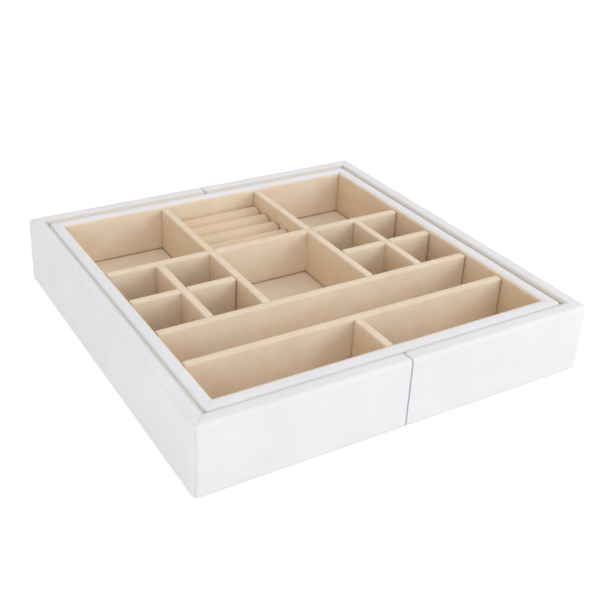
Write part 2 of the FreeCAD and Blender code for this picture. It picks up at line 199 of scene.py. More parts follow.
def new_material(name):
    """Add a material. Returns add_node for its tree, and the Object coordinates that its patterns read."""
    add = empty_tree(bpy.data.materials.new(name))
    return add, add("ShaderNodeTexCoord").outputs["Object"]


def surface(add, base, relief, strength, depth, look):
    """Surface of a material: its base colour, its relief with a strength and a depth, and shader values."""
    bump = add("ShaderNodeBump", {"Strength": strength, "Distance": depth, "Height": relief})
    shader = add("ShaderNodeBsdfPrincipled", {"Base Color": base, "Normal": bump, **look})
    add("ShaderNodeOutputMaterial", {"Surface": shader})


def leatherette_material(colours):
    """Polyurethane-coated fabric, embossed with a fine pebble grain.

    A satin white skin: the grain breaks up the highlight, and the sheet shows faint clouds of tone."""
    add, place = new_material("White leatherette")
    pebbles = add("ShaderNodeTexVoronoi", {"Vector": place, "Scale": per_mm(1.1)}, feature="SMOOTH_F1")
    pores = add("ShaderNodeTexNoise", {"Vector": place, "Scale": per_mm(0.45), "Detail": 3.0})
    clouds = add("ShaderNodeTexNoise", {"Vector": place, "Scale": per_mm(38), "Detail": 3.0})
    grain = add("ShaderNodeMath", {0: pebbles, 1: 0.5, 2: pores}, operation="MULTIPLY_ADD")
    tone = add("ShaderNodeMath", {0: grain, 1: 0.35, 2: clouds}, operation="MULTIPLY_ADD")
    share = add("ShaderNodeMapRange", {"Value": tone, "From Min": 0.35, "From Max": 1.05})
    base = add("ShaderNodeMix", {FACTOR: share, FIRST: colours.leatherette_hollow,
                                 SECOND: colours.leatherette}, data_type="RGBA")
    gloss = add("ShaderNodeMapRange", {"Value": pores, "From Min": 0.3, "From Max": 0.7,
                                       "To Min": 0.46, "To Max": 0.58})
    surface(add, base, grain, strength=0.35, depth=0.06 * MM,
            look={"Roughness": gloss, "IOR": 1.46, "Specular IOR Level": 0.35})


def velvet_material(name, hollow, nap_and_painted_light, sheen, brush, top=1.0, crease=None):
    """Short-pile velvet glued to card, board or foam.

    The fibres stand up, so edges catch light as a pale bloom. Faces turned to the front or up are painted
    paler than side faces, as painted light, and brushed patches shift the tone. The pile is drawn at 0.7 mm,
    coarser than the real 0.2 mm, so that it shows. Brush stretches the patches along X, Y and Z, and top is
    how much of that painted light a face turned up gets. Low down the colour turns browner as painted shade:
    crease gives that colour, the height below which it is full and the height where it ends."""
    add, place = new_material(name)
    brushed = add("ShaderNodeMapping", {"Vector": place, "Scale": brush})
    patches = add("ShaderNodeTexNoise", {"Vector": brushed, "Scale": per_mm(16), "Detail": 4.0,
                                         "Distortion": 0.6})
    pile = add("ShaderNodeTexNoise", {"Vector": place, "Scale": per_mm(0.7), "Detail": 2.0})
    tone = add("ShaderNodeMath", {0: pile, 1: 0.9, 2: patches}, operation="MULTIPLY_ADD")
    uneven = add("ShaderNodeMapRange", {"Value": tone, "From Min": 0.65, "From Max": 1.25, "To Max": 0.4})
    # Painted light: faces turned to the front or up are mixed towards the pale colour, as if lit from the
    # front and above
    normal = add("ShaderNodeNewGeometry").outputs["Normal"]
    turned = add("ShaderNodeSeparateXYZ", {0: normal}).outputs
    front = add("ShaderNodeMath", {0: turned[1], 1: -1.0}, operation="MULTIPLY")
    painted_light_up = add("ShaderNodeMath", {0: turned[2], 1: top}, operation="MULTIPLY")
    painted_light_facing = add("ShaderNodeMath", {0: front, 1: painted_light_up}, operation="MAXIMUM", use_clamp=True)
    share = add("ShaderNodeMath", {0: painted_light_facing, 1: 0.6, 2: uneven}, operation="MULTIPLY_ADD", use_clamp=True)
    base = add("ShaderNodeMix", {FACTOR: share, FIRST: hollow, SECOND: nap_and_painted_light}, data_type="RGBA")
    # Painted shade: the colour turns browner below a height, at the foot of walls and dividers and in the
    # floor crease
    if crease:
        pressed, lowest, plain = crease
        height = add("ShaderNodeSeparateXYZ", {0: place}).outputs[2]
        standing = add("ShaderNodeMapRange", {"Value": height, "From Min": lowest, "From Max": plain})
        base = add("ShaderNodeMix", {FACTOR: standing, FIRST: pressed, SECOND: base}, data_type="RGBA")
    surface(add, base, pile, strength=0.5, depth=0.12 * MM,
            look={"Roughness": 0.95, "Specular IOR Level": 0.15, "Sheen Weight": 0.35,
                  "Sheen Roughness": 0.5, "Sheen Tint": sheen})


def fibreboard_material(colours):
    """Raw fibreboard, pressed from wood fibre: dull, with short flecks. It is hidden by the covers."""
    add, place = new_material("Raw fibreboard")
    flecks = add("ShaderNodeTexNoise", {"Vector": place, "Scale": per_mm(1.5), "Detail": 5.0})
    base = add("ShaderNodeMix", {FACTOR: flecks, FIRST: darker(colours.board, 0.7),
                                 SECOND: colours.board}, data_type="RGBA")
    surface(add, base, flecks, strength=0.3, depth=0.1 * MM, look={"Roughness": 0.85})


def felt_material(colours):
    """Needle-punched felt: matted fibres with no direction, soft and matt, a little uneven in tone."""
    add, place = new_material("Needle-punched felt")
    fibres = add("ShaderNodeTexNoise", {"Vector": place, "Scale": per_mm(1.2), "Detail": 6.0,
                                        "Roughness": 0.7, "Distortion": 1.5})
    clumps = add("ShaderNodeTexNoise", {"Vector": place, "Scale": per_mm(9), "Detail": 2.0})
    tone = add("ShaderNodeMath", {0: fibres, 1: clumps}, operation="MULTIPLY")
    share = add("ShaderNodeMapRange", {"Value": tone, "From Min": 0.1, "From Max": 0.45})
    base = add("ShaderNodeMix", {FACTOR: share, FIRST: darker(colours.felt, 0.78),
                                 SECOND: colours.felt}, data_type="RGBA")
    surface(add, base, fibres, strength=0.8, depth=0.25 * MM,
            look={"Roughness": 1.0, "Specular IOR Level": 0.1, "Sheen Weight": 0.2, "Sheen Roughness": 0.6})


def finish_of(name):
    """Material that an earlier step made."""
    material = bpy.data.materials.get(name)
    if material is None:
        raise RuntimeError(f"make the finishes first: there is no {name}")
    return material


def new_piece(mesh, body, node):
    """Finished piece with the name of its mesh, that stands for a CAD node and moves with its body."""
    piece = bpy.data.objects.new(mesh.name, mesh)
    bpy.context.scene.collection.objects.link(piece)
    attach(piece, body)
    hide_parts(node)
    return piece


def mesh_from(bm, name, material, sharp_angle=SHARP_FOLD):
    """Plain mesh with outward faces, smooth but for its sharp edges."""
    bmesh.ops.remove_doubles(bm, verts=bm.verts, dist=SAME_POINT)
    bmesh.ops.recalc_face_normals(bm, faces=bm.faces)
    limit = math.radians(sharp_angle)
    for face in bm.faces:
        face.smooth = True
    for edge in bm.edges:
        edge.smooth = edge.calc_face_angle(0) < limit
    mesh = bpy.data.meshes.new(name)
    bm.to_mesh(mesh)
    bm.free()
    mesh.materials.append(material)
    return mesh


def strip(bm, one, two):
    """Faces between two rows of points."""
    for corners in zip(one, one[1:], two[1:], two):
        bm.faces.new(corners)


def skin_rings(bm, rings):
    """Faces between closed rings of points in a row, and one over each end."""
    for one, two in zip(rings, rings[1:]):
        strip(bm, one + one[:1], two + two[:1])
    bm.faces.new(rings[0])
    bm.faces.new(rings[-1])


def skin_sheet(bm, outer, inner):
    """Faces of the two sides of a sheet, each made of rows of points, and between the ends of the rows."""
    for side in (outer, inner):
        for one, two in zip(side, side[1:]):
            strip(bm, one, two)
    for end in (0, -1):
        strip(bm, [row[end] for row in outer], [row[end] for row in inner])


# A wall of a half or of the insert. Along is the axis it runs along, inward the sign from its outer face.
Wall = namedtuple("Wall", "name body along inward mitred_start mitred_end")


def tray_walls():
    walls = []
    for side in HALVES:
        ends = (side == "left", side == "right")
        for name, inward in (("front", 1), ("back", -1)):
            walls.append(Wall(f"{side}_{name}", f"{side}_half", 0, inward, *ends))
        walls.append(Wall(f"{side}_end", f"{side}_half", 1, 1 if side == "left" else -1, True, True))
    for name in INSERT_WALLS:
        along = 0 if name in ("front", "back") else 1
        inward = 1 if name in ("front", "left") else -1
        walls.append(Wall(f"insert_{name}", "insert", along, inward, True, True))
    return walls


def straight(start, end, normal, step):
    """Points between the two ends of a straight stretch of a section, with their normal."""
    start, end = Vector(start), Vector(end)
    count = max(1, round((end - start).length / step))
    return [(start.lerp(end, number / count), Vector(normal)) for number in range(1, count)]


def rounded(centre, radius, first, last, steps=6):
    """Points of an arc of a section with their normals, between two angles in degrees."""
    points = []
    for number in range(steps + 1):
        angle = math.radians(first + (last - first) * number / steps)
        normal = Vector((math.cos(angle), math.sin(angle)))
        points.append((Vector(centre) + radius * normal, normal))
    return points


def roll(distance, radius):
    """How far a rounded edge has dropped at a distance from its end."""
    if distance >= radius:
        return 0.0
    return radius - math.sqrt(radius ** 2 - (radius - distance) ** 2)


def spread(run, step, near, clear):
    """Places along a run: the given ones near its start, the same near its end, and even ones between."""
    count = round(run / step)
    even = [run * number / count for number in range(1, count)]
    even = [place for place in even if clear < place < run - clear]
    return near + even + [run - place for place in reversed(near)]


def ease(share):
    """Share from 0 to 1 that starts and stops softly."""
    share = min(1.0, max(0.0, share))
    return share * share * (3 - 2 * share)


# Small dents in a cover: wall, place along it, height, radius and depth in millimetres
DENTS = (("left_front", -4, 19, 4, 0.22), ("left_front", -8, 27, 4, 0.2), ("left_front", -22, 29, 6, 0.25),
         ("left_front", -31, 38, 5, 0.14), ("left_end", 22, 47, 9, 0.3), ("left_end", -46, 46, 10, 0.2))


class CoverBuilder:
    """Leatherette sheet wrapped over a wall: from under the floor, up, over the rim and down inside."""

    # Mesh lines near an end of the sheet, as shares of its edge rounding
    EDGE_STEPS = (0.0, 0.12, 0.3, 0.6, 1.0)
    # Mesh lines in a corner rounding, as shares of its half turn
    ARC_SHARES = (0.82, 0.7, 0.5, 0.3, 0.15)
    # Edge roundings from an end to where the even mesh starts
    EDGE_CLEAR = 1.5
    # The waves are calm this near an end, and have finer waves on them
    CALM_END = 12 * MM
    FINE_SHARE, FINE_PITCH, FINE_SHIFT = 0.5, 2.1, Vector((7, 3, 5))
    # Shares of the wall's thickness: where the waves end, and over what width they fade
    WAVE_END, WAVE_FADE = 0.75, 0.35

    def __init__(self, wall, sizes):
        low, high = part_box(f"{wall.name}_cover")
        board_low, board_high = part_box(f"{wall.name}_board")
        across = 1 - wall.along
        self.wall, self.sizes, self.across = wall, sizes, across
        self.sheet = high.z - board_high.z
        # A rounded corner stops short of the square one, so a mitred end is drawn from further out
        short = sizes.corner_rounding * (1 - math.cos(MITRE))
        self.start = low[wall.along] + (-short if wall.mitred_start else sizes.seam_setback)
        self.end = high[wall.along] - (-short if wall.mitred_end else sizes.seam_setback)
        self.outer = low[across] if wall.inward > 0 else high[across]
        self.foot, self.rim = low.z, high.z
        self.inner_foot = board_low.z
        self.thickness = board_high[across] - board_low[across] + 2 * self.sheet
        self.strip = high[across] - low[across]

    def section(self):
        """Outer line of the sheet as (depth from the outer face, height) with normals."""
        rim, foot = self.sizes.rim_rounding, self.sizes.foot_rounding
        step, top, deep = self.sizes.cover_step, self.rim - self.sizes.rim_rounding, self.thickness
        line = [(Vector((self.strip, self.foot)), Vector((0, -1)))]
        line += straight((self.strip, self.foot), (foot, self.foot), (0, -1), step)
        line += rounded((foot, self.foot + foot), foot, 270, 180)
        line += straight((0, self.foot + foot), (0, top), (-1, 0), step)
        line += rounded((rim, top), rim, 180, 90)
        line += straight((rim, self.rim), (deep - rim, self.rim), (0, 1), step / 2)
        line += rounded((deep - rim, top), rim, 90, 0)
        line += straight((deep, top), (deep, self.inner_foot), (1, 0), 2 * step)
        line.append((Vector((deep, self.inner_foot)), Vector((1, 0))))
        return line

    def stations(self):
        """Places along the wall as (share of the run, angle round a corner, negative at the start)."""
        run, corner = self.end - self.start, self.sizes.corner_rounding
        edge = max(self.sizes.mitre_rounding, self.sizes.seam_rounding)
        near = [edge * share / run for share in self.EDGE_STEPS]
        shares = spread(1, self.sizes.cover_step / run, near, self.EDGE_CLEAR * near[-1])
        angles = [MITRE - self.sizes.mitre_rounding * share / corner for share in self.EDGE_STEPS]
        angles += [MITRE * share for share in self.ARC_SHARES if MITRE * share < angles[-1]]
        at_start = [(0, -angle) for angle in angles] if self.wall.mitred_start else []
        at_end = [(1, angle) for angle in reversed(angles)] if self.wall.mitred_end else []
        return at_start + [(share, 0) for share in shares] + at_end

    def plan(self, depth, station):
        """Place along the wall, depth and distance to each end, of a point of the section at a station."""
        share, angle = station
        corner, gap = self.sizes.corner_rounding, self.sizes.mitre_gap
        reach, spare = max(depth, corner), max(corner - depth, 0)
        first = self.start + (reach + gap if self.wall.mitred_start else 0)
        last = self.end - (reach + gap if self.wall.mitred_end else 0)
        along = first + share * (last - first) + spare * math.sin(angle)
        inset = reach - spare * math.cos(angle)
        from_start = share * (last - first) + spare * (MITRE + min(angle, 0))
        from_end = (1 - share) * (last - first) + spare * (MITRE - max(angle, 0))
        return along, inset, from_start, from_end

    def edge_drop(self, from_start, from_end):
        """How far the sheet has rolled in at its ends."""
        drop = 0.0
        for mitred, distance in ((self.wall.mitred_start, from_start), (self.wall.mitred_end, from_end)):
            radius = self.sizes.mitre_rounding if mitred else self.sizes.seam_rounding
            drop = max(drop, roll(distance, radius))
        return drop

    def wave(self, place, from_start, from_end):
        """Soft waves where the sheet was stretched over the board, calm near its ends, and its dents."""
        at = place / self.sizes.cover_wave_length
        height = noise.noise(at) + self.FINE_SHARE * noise.noise(self.FINE_PITCH * at + self.FINE_SHIFT)
        swell = self.sizes.cover_wave * height * ease(min(from_start, from_end) / self.CALM_END)
        for wall, along, level, radius, depth in DENTS:
            if wall == self.wall.name:
                beside, above = place[self.wall.along] - along * MM, place.z - level * MM
                swell -= depth * MM * math.exp(-(math.hypot(beside, above) / (radius * MM)) ** 2)
        return swell

    def point(self, along, depth, height):
        """Point of the frame from a place along the wall, a depth from its outer face and a height."""
        place = Vector((0, 0, height))
        place[self.wall.along] = along
        place[self.across] = self.outer + self.wall.inward * depth
        return place

    def outside(self, spot, normal, station):
        """Point of the outer face of the sheet."""
        along, depth, from_start, from_end = self.plan(spot.x, station)
        swell = self.wave(self.point(along, depth, spot.y), from_start, from_end)
        # Calm where the velvet panel is glued on
        swell *= ease((self.WAVE_END * self.thickness - spot.x) / (self.WAVE_FADE * self.thickness))
        spot = spot + normal * (swell - self.edge_drop(from_start, from_end))
        along, depth, *_ = self.plan(spot.x, station)
        return self.point(along, depth, spot.y)

    def inside(self, spot, normal, station):
        """Point of the glued face of the sheet, which leaves a sheet's thickness at a folded end."""
        spot = spot - normal * self.sheet
        along, depth, *_ = self.plan(spot.x, station)
        fold = self.sheet - self.sizes.seam_setback
        if not self.wall.mitred_start:
            along = max(along, self.start + fold)
        if not self.wall.mitred_end:
            along = min(along, self.end - fold)
        return self.point(along, depth, spot.y)

    def mesh(self, name, material):
        bm = bmesh.new()
        line, stations = self.section(), self.stations()
        outer = [[bm.verts.new(self.outside(*spot, station)) for spot in line] for station in stations]
        inner = [[bm.verts.new(self.inside(*spot, station)) for spot in line] for station in stations]
        skin_sheet(bm, outer, inner)
        for end, mitred in ((0, self.wall.mitred_start), (-1, self.wall.mitred_end)):
            rim, lip = outer[end], inner[end]
            if mitred:
                strip(bm, rim, lip)
            else:
                # The fold closes the end of the wall
                for face in (rim, lip, (rim[0], rim[-1], lip[-1], lip[0])):
                    bm.faces.new(face)
        return mesh_from(bm, name, material)


class LiningBuilder(CoverBuilder):
    """Velvet panel inside a wall: up from the floor, its soft top edge laid over the rim's rounding."""

    # Degrees over the rim's rounding, for the walls of a body or for one wall
    LAP_ANGLE = {"insert": 46, "insert_left": 32, "left_half": 58, "right_half": 58}
    LAP_STEPS = 8
    # Walls where the pile fills most of the play, with their share of the lining pile
    FULL_PILE = {"left_end": 1.25, "left_back": 1.0, "right_back": 1.0}
    CALM_END = 8 * MM
    WAVE_SHIFT = Vector((11, 4, 2))

    def __init__(self, wall, sizes):
        super().__init__(wall, sizes)
        low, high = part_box(f"{wall.name}_lining")
        self.foot = low.z
        self.panel = high[self.across] - low[self.across]
        self.panel += sizes.lining_pile * self.FULL_PILE.get(wall.name, 0)
        self.start += 0 if wall.mitred_start else sizes.lining_setback
        self.end -= 0 if wall.mitred_end else sizes.lining_setback

    def section(self):
        """Closed line of the panel as (depth from the outer face, height), with normals where it is free."""
        rim, back, none = self.sizes.rim_rounding, self.thickness, Vector((0, 0))
        face, top = back + self.panel, self.rim - rim
        line = [(Vector((face, self.foot)), Vector((1, 0)))]
        line += straight((face, self.foot), (face, top), (1, 0), self.sizes.velvet_step)
        glued = [(Vector((back, self.foot)), none)]
        lap = self.LAP_ANGLE.get(self.wall.name, self.LAP_ANGLE[self.wall.body])
        arc = rounded((back - rim, top), rim, 0, lap, self.LAP_STEPS)
        for number, (on_cover, normal) in enumerate(arc):
            pile = self.panel * math.sqrt(1 - (number / self.LAP_STEPS) ** 2)
            line.append((on_cover + pile * normal, normal))
            glued.append((on_cover, none))
        # The top edge is one point of both
        return line + glued[-2::-1]

    def wave(self, place, from_start, from_end):
        """Soft waves in the glued velvet, calm near its ends."""
        height = noise.noise(place / self.sizes.velvet_wave_length + self.WAVE_SHIFT)
        return self.sizes.velvet_wave * height * ease(min(from_start, from_end) / self.CALM_END)

    def mesh(self, name, material):
        bm = bmesh.new()
        line = self.section()
        count = round((self.end - self.start) / self.sizes.velvet_step)
        rings = []
        for number in range(count + 1):
            ring = []
            for spot, normal in line:
                along, depth, from_start, from_end = self.plan(spot.x, (number / count, 0))
                swell = self.wave(self.point(along, depth, spot.y), from_start, from_end)
                spot = spot + swell * normal
                ring.append(bm.verts.new(self.point(along, spot.x, spot.y)))
            rings.append(ring)
        skin_rings(bm, rings)
        return mesh_from(bm, name, material, SHARP_VELVET)


def velvet_board_tree():
    """Geometry Nodes tree of a velvet-covered board: a softly wavy box with rounded edges and half laps."""
    tree = bpy.data.node_groups.new("Velvet board", "GeometryNodeTree")
    sockets = {"Vector": ("Centre", "Half Size", "Rows", "First Lap", "Lap Step", "Lap Size"),
               "Float": ("Top Rounding", "Foot Rounding", "Wave", "Wave Scale", "Seed"),
               "Int": ("Laps",), "Material": ("Velvet",)}
    for kind, names in sockets.items():
        for name in names:
            tree.interface.new_socket(name, in_out="INPUT", socket_type=f"NodeSocket{kind}")
    tree.interface.new_socket("Geometry", in_out="OUTPUT", socket_type="NodeSocketGeometry")
    add = partial(add_node, tree)
    given = add("NodeGroupInput").outputs

    # Box from -1 to 1, and the rounding of its edges at each height
    rows = add("ShaderNodeSeparateXYZ", {0: given["Rows"]}).outputs
    box = add("GeometryNodeMeshCube",
              {"Size": (2, 2, 2), "Vertices X": rows[0], "Vertices Y": rows[1], "Vertices Z": rows[2]})
    place = add("GeometryNodeInputPosition")
    height = add("ShaderNodeSeparateXYZ", {0: place}).outputs[2]
    radius = add("ShaderNodeMapRange",
                 {"Value": height, "From Min": -1.0, "From Max": 1.0,
                  "To Min": given["Foot Rounding"], "To Max": given["Top Rounding"]})
    radii = add("ShaderNodeCombineXYZ", {0: radius, 1: radius, 2: radius})

    # Edge is the part of the box kept for the rounding at each end, calm the part between. The calm part
    # becomes the flat faces, and the edge part turns about them. A step is a name, an operation and inputs.
    steps = (("spans", "SUBTRACT", "Rows", (1, 1, 1)), ("edge", "DIVIDE", (2 * EDGE_ROWS,) * 3, "spans"),
             ("calm", "SUBTRACT", (1, 1, 1), "edge"), ("side", "SIGN", "place"),
             ("out", "ABSOLUTE", "place"), ("reach", "DIVIDE", "out", "calm"),
             ("flat share", "MINIMUM", "reach", (1, 1, 1)), ("core", "SUBTRACT", "Half Size", "radii"),
             ("flat", "MULTIPLY", "flat share", "core"), ("past", "SUBTRACT", "out", "calm"),
             ("turn", "DIVIDE", "past", "edge"), ("bend", "MAXIMUM", "turn", (0, 0, 0)),
             ("aim", "NORMALIZE", "bend"), ("rolled", "MULTIPLY", "aim", "radii"),
             ("from centre", "ADD", "flat", "rolled"), ("signed", "MULTIPLY", "side", "from centre"),
             ("shape", "ADD", "Centre", "signed"))
    vectors = {"place": place, "radii": radii}
    vectors.update((name, given[name]) for name in ("Centre", "Half Size", "Rows"))
    for name, operation, *terms in steps:
        inputs = {number: vectors.get(term, term) for number, term in enumerate(terms)}
        vectors[name] = add("ShaderNodeVectorMath", inputs, operation=operation)
    soft = add("GeometryNodeSetPosition", {"Geometry": box, "Position": vectors["shape"]})

    # Waves in the glued velvet
    shift = add("ShaderNodeCombineXYZ", {0: given["Seed"]})
    where = add("ShaderNodeVectorMath", {0: place, 1: shift}, operation="ADD")
    waves = add("ShaderNodeTexNoise", {"Vector": where, "Scale": given["Wave Scale"], "Detail": 2.0})
    level = add("ShaderNodeMath", {0: waves, 1: 0.5}, operation="SUBTRACT")
    swell = add("ShaderNodeMath", {0: level, 1: given["Wave"]}, operation="MULTIPLY")
    normal = add("GeometryNodeInputNormal")
    offset = add("ShaderNodeVectorMath", {0: normal, "Scale": swell}, operation="SCALE")
    wavy = add("GeometryNodeSetPosition", {"Geometry": soft, "Offset": offset})

    # Half laps where another board crosses
    spots = add("GeometryNodeMeshLine", {"Count": given["Laps"], "Start Location": given["First Lap"],
                                         "Offset": given["Lap Step"]})
    cutter = add("GeometryNodeMeshCube", {"Size": given["Lap Size"]})
    laps = add("GeometryNodeInstanceOnPoints", {"Points": spots, "Instance": cutter})
    cut = add("GeometryNodeMeshBoolean", {"Mesh 1": wavy, "Mesh 2": laps},
              operation="DIFFERENCE", solver="EXACT")

    # Smooth but for the edges of the laps
    angle = add("GeometryNodeInputMeshEdgeAngle")
    crisp = add("ShaderNodeMath", {0: angle, 1: math.radians(SHARP_LAP)}, operation="GREATER_THAN")
    smooth = add("GeometryNodeSetShadeSmooth", {"Geometry": cut}, domain="FACE")
    sharp = add("GeometryNodeSetShadeSmooth",
                {"Geometry": smooth, "Selection": crisp, "Shade Smooth": False}, domain="EDGE")
    whole = add("GeometryNodeRealizeInstances", {"Geometry": sharp})
    dressed = add("GeometryNodeSetMaterial", {"Geometry": whole, "Material": given["Velvet"]})
    add("NodeGroupOutput", {0: dressed})
    return tree


def tree_mesh(tree, name, inputs):
    """Plain mesh of a Geometry Nodes tree with these inputs."""
    carrier = bpy.data.objects.new(name, bpy.data.meshes.new(f"{name} carrier"))
    bpy.context.scene.collection.objects.link(carrier)
    modifier = carrier.modifiers.new("Shape", "NODES")
    modifier.node_group = tree
    for item in tree.interface.items_tree:
        if item.in_out == "INPUT" and item.name in inputs:
            modifier[item.identifier] = inputs[item.name]
    graph = bpy.context.evaluated_depsgraph_get()
    mesh = bpy.data.meshes.new_from_object(carrier.evaluated_get(graph), depsgraph=graph)
    mesh.name = name
    carrier.modifiers.remove(modifier)
    bpy.data.objects.remove(carrier)
    return mesh


def velvet_board(tree, node, material, sizes, laps):
    """Mesh of a velvet-covered board in the box of its CAD node, with its half laps."""
    low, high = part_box(node)
    half = (high - low) / 2
    half[0 if half.x > half.y else 1] -= sizes.board_end_gap
    rows = [2.0 * EDGE_ROWS + 1 + max(1, round(2 * side / sizes.velvet_step)) for side in half]
    # The noise of the waves goes half its range each way. A board has one of 97 seeds, from its name.
    inputs = {"Centre": (low + high) / 2, "Half Size": half, "Rows": rows,
              "Top Rounding": sizes.board_rounding, "Foot Rounding": sizes.board_foot_rounding,
              "Wave": 2 * sizes.velvet_wave, "Wave Scale": 1 / sizes.velvet_wave_length,
              "Seed": float(sum(map(ord, node)) % 97), "Laps": len(laps), "Velvet": material}
    if laps:
        inputs["First Lap"], inputs["Lap Size"] = laps[0]
        inputs["Lap Step"] = laps[-1][0] - laps[0][0]
    return tree_mesh(tree, f"{node}_velvet", inputs)


def crossing_laps(node, others, from_top, slack):
    """Centre and size of the half laps that crossing boards leave in a board."""
    low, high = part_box(node)
    laps = []
    for other in others:
        other_low, other_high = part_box(other)
        if all(other_low[axis] < high[axis] and low[axis] < other_high[axis] for axis in (0, 1)):
            spot = (other_low + other_high) / 2
            size = other_high - other_low
            along = 0 if high.x - low.x > high.y - low.y else 1
            across = 1 - along
            spot[across] = (low[across] + high[across]) / 2
            size[across] = 2 * (high[across] - low[across])
            size[along] += 2 * slack
            spot.z = high.z if from_top else low.z
            size.z = high.z - low.z
            laps.append((spot, size))
    return sorted(laps, key=lambda lap: tuple(lap[0]))


class FloorVelvet:
    """Velvet sheet on the floor of the insert, pressed down in a crease along every divider and wall."""

    # Mesh lines at a face that stands on the sheet, in crease widths from it
    LINE_SHARES = (-1.0, -0.5, -0.2, 0.0, 0.15, 0.35, 0.65, 1.0)
    # Lines closer than this are one line
    SAME_LINE = 0.02 * MM

    def __init__(self, sizes):
        self.low, self.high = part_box("insert_floor_lining")
        self.depth, self.width = sizes.crease_depth, sizes.crease_width
        self.step = 2 * sizes.velvet_step
        self.boards = [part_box(node) for node in DIVIDERS_ALONG_X + DIVIDERS_ALONG_Y]
        self.room_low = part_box("insert_left_lining")[1].x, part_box("insert_front_lining")[1].y
        self.room_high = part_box("insert_right_lining")[0].x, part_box("insert_back_lining")[0].y

    def lines(self, axis):
        """Grid lines across an axis: close together at each crease, wide apart between."""
        faces = {self.room_low[axis]: 1, self.room_high[axis]: -1}
        for low, high in self.boards:
            # To the micrometre, so that faces of boards in line count once
            faces[round(low[axis], 6)] = -1
            faces[round(high[axis], 6)] = 1
        marks = {self.low[axis], self.high[axis]}
        for face, side in faces.items():
            marks.update(face + side * share * self.width for share in self.LINE_SHARES)
        marks = sorted(mark for mark in marks if self.low[axis] <= mark <= self.high[axis])
        lines = [marks[0]]
        for mark in marks[1:]:
            gap = mark - lines[-1]
            if gap < self.SAME_LINE:
                continue
            count = math.ceil(gap / self.step)
            lines += [lines[-1] + gap * number / count for number in range(1, count + 1)]
        return lines

    def drop(self, x, y):
        """Depth of the crease at a place, from its distance to the nearest face that stands on the sheet."""
        near = min(abs(x - self.room_low[0]), abs(x - self.room_high[0]),
                   abs(y - self.room_low[1]), abs(y - self.room_high[1]))
        for low, high in self.boards:
            beside = max(low.x - x, x - high.x), max(low.y - y, y - high.y)
            if max(beside) <= 0:
                near = min(near, -max(beside))
            else:
                near = min(near, math.hypot(max(beside[0], 0), max(beside[1], 0)))
        return self.depth * max(0.0, 1 - near / self.width) ** 2

    def mesh(self, name, material):
        bm = bmesh.new()
        across, along = self.lines(0), self.lines(1)
        top = [[bm.verts.new((x, y, self.high.z - self.drop(x, y))) for x in across] for y in along]
        base = [[bm.verts.new((x, y, self.low.z)) for x in across] for y in along]
        skin_sheet(bm, top, base)
        for end in (0, -1):
            strip(bm, top[end], base[end])
        return mesh_from(bm, name, material)


class RingBar:
    """Foam bar in velvet before it swells: upright sides, a full crown and ends that roll over."""

    SIDE_STEP, RUN_STEP, CROWN_STEPS = 2.5 * MM, 3 * MM, 20
    # Mesh lines where an end rolls over, in degrees, and end roundings to where the even mesh starts
    END_ANGLES, END_CLEAR = range(0, 91, 15), 1.3
    # Rings of an end's face, as shares of its size
    FACE_SHARES = (0.25, 0.5, 0.75)
    # The crown is tight already and hardly swells
    CROWN_SWELL = 0.2
    # A slight unevenness, calm near the ends and different from bar to bar
    WAVE, WAVE_LENGTH, CALM_END, BAR_SHIFT = 0.06 * MM, 17 * MM, 6 * MM, 3.1

    def __init__(self, node, sizes):
        self.low, self.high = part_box(node)
        self.slack, self.end = sizes.ring_swell, sizes.ring_end_rounding
        self.half = (self.high.y - self.low.y) / 2 - self.slack
        self.run = self.high.x - self.low.x - 2 * self.slack
        self.spring = self.high.z - self.CROWN_SWELL * self.slack - self.half
        self.shift = Vector((self.BAR_SHIFT * int(node[-1]), 0, 0))

    def section(self):
        """Line up one side, over the crown and down the other, as (place across, height) with normals."""
        half, foot, spring = self.half, self.low.z, self.spring
        line = [(Vector((-half, foot)), Vector((-1, 0)))]
        line += straight((-half, foot), (-half, spring), (-1, 0), self.SIDE_STEP)
        line += rounded((0, spring), half, 180, 0, self.CROWN_STEPS)
        line += straight((half, spring), (half, foot), (1, 0), self.SIDE_STEP)
        line.append((Vector((half, foot)), Vector((1, 0))))
        return line

    def stations(self):
        """Places along the bar, close together where its ends roll over."""
        near = [self.end * (1 - math.cos(math.radians(angle))) for angle in self.END_ANGLES]
        return spread(self.run, self.RUN_STEP, near, self.END_CLEAR * self.end)

    def ring(self, bm, line, place, share=1.0):
        """Points round the bar at a place along it, or round a share of its end's face."""
        from_end = min(place, self.run - place)
        drop = roll(from_end, self.end)
        heart = Vector((0, (self.low.z + self.spring) / 2))
        middle = (self.high.y + self.low.y) / 2
        points = []
        for spot, normal in line:
            at = Vector((place, spot.x, spot.y)) / self.WAVE_LENGTH + self.shift
            swell = self.WAVE * noise.noise(at) * ease(from_end / self.CALM_END)
            spot = spot + normal * (swell - drop)
            spot.y = max(spot.y, self.low.z)
            spot = heart.lerp(spot, share)
            points.append(bm.verts.new((self.low.x + self.slack + place, middle + spot.x, spot.y)))
        return points

    def mesh(self, name, material):
        bm = bmesh.new()
        line = self.section()
        rings = [self.ring(bm, line, 0.0, share) for share in self.FACE_SHARES]
        rings += [self.ring(bm, line, place) for place in self.stations()]
        rings += [self.ring(bm, line, self.run, share) for share in reversed(self.FACE_SHARES)]
        skin_rings(bm, rings)
        return mesh_from(bm, name, material, SHARP_VELVET)


